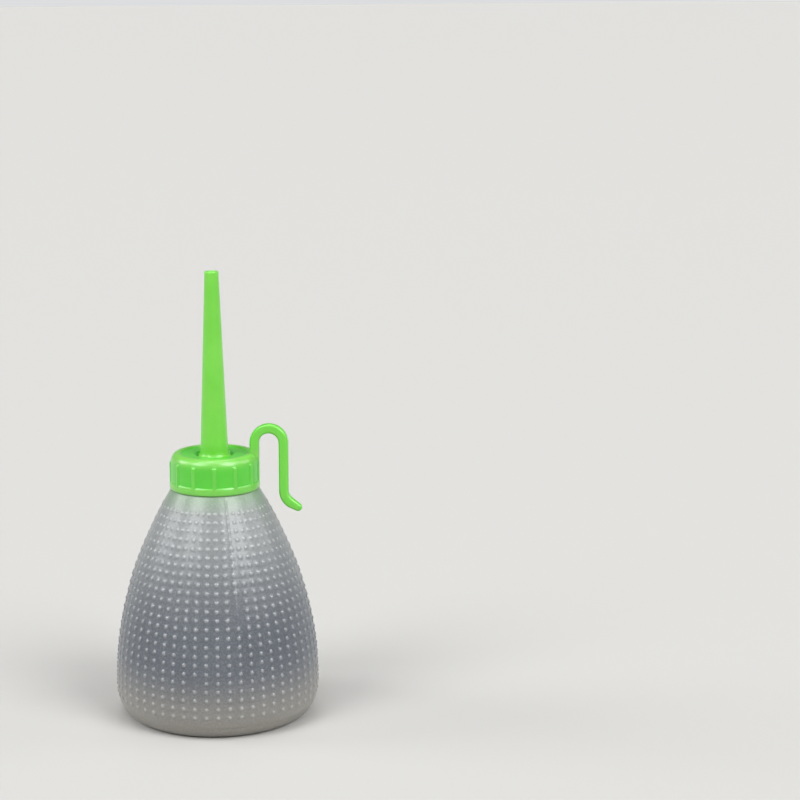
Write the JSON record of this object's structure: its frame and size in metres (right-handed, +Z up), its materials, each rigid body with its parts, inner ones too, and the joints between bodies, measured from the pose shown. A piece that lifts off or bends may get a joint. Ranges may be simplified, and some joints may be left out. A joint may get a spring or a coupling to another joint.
{
  "type": "wash bottle",
  "caption": "Squat soft translucent squeeze bottle with raised dots, ribbed green screw cap, moulded side hook and long straight tapered spout.",
  "frame": {"origin": "centre of the base, in the plane that the bottle stands on", "axes": "+Z up along the bottle's and the spout's axis; +X towards the hook"},
  "size_m": [0.075, 0.075, 0.165],
  "materials": {
    "milky_polythene": "milky translucent, soft satin",
    "green_cap_plastic": "bright green, satin gloss",
    "green_spout_plastic": "bright green, slightly translucent satin",
    "washer_rubber": "off-white, matte"
  },
  "bodies": {
    "bottle_body": {"bottle": "milky_polythene"},
    "spout_body": {"spout": "green_spout_plastic", "sealing_washer": "washer_rubber"},
    "cap_body": {"screw_cap": "green_cap_plastic"}
  },
  "joints": [
    {"name": "cap_lift", "type": "slide", "parent": "bottle_body", "child": "spout_body", "axis": [0, 0, 1], "range_m": [0, 0.0053]},
    {"name": "cap_turn", "type": "hinge", "parent": "spout_body", "child": "cap_body", "pos_m": [0, 0, 0.0952], "axis": [0, 0, 1], "range_deg": [0, 450]}
  ],
  "couplings": [
    {"joint": "cap_lift", "follows": "cap_turn", "m_per_rad": 0.00067376}
  ]
}
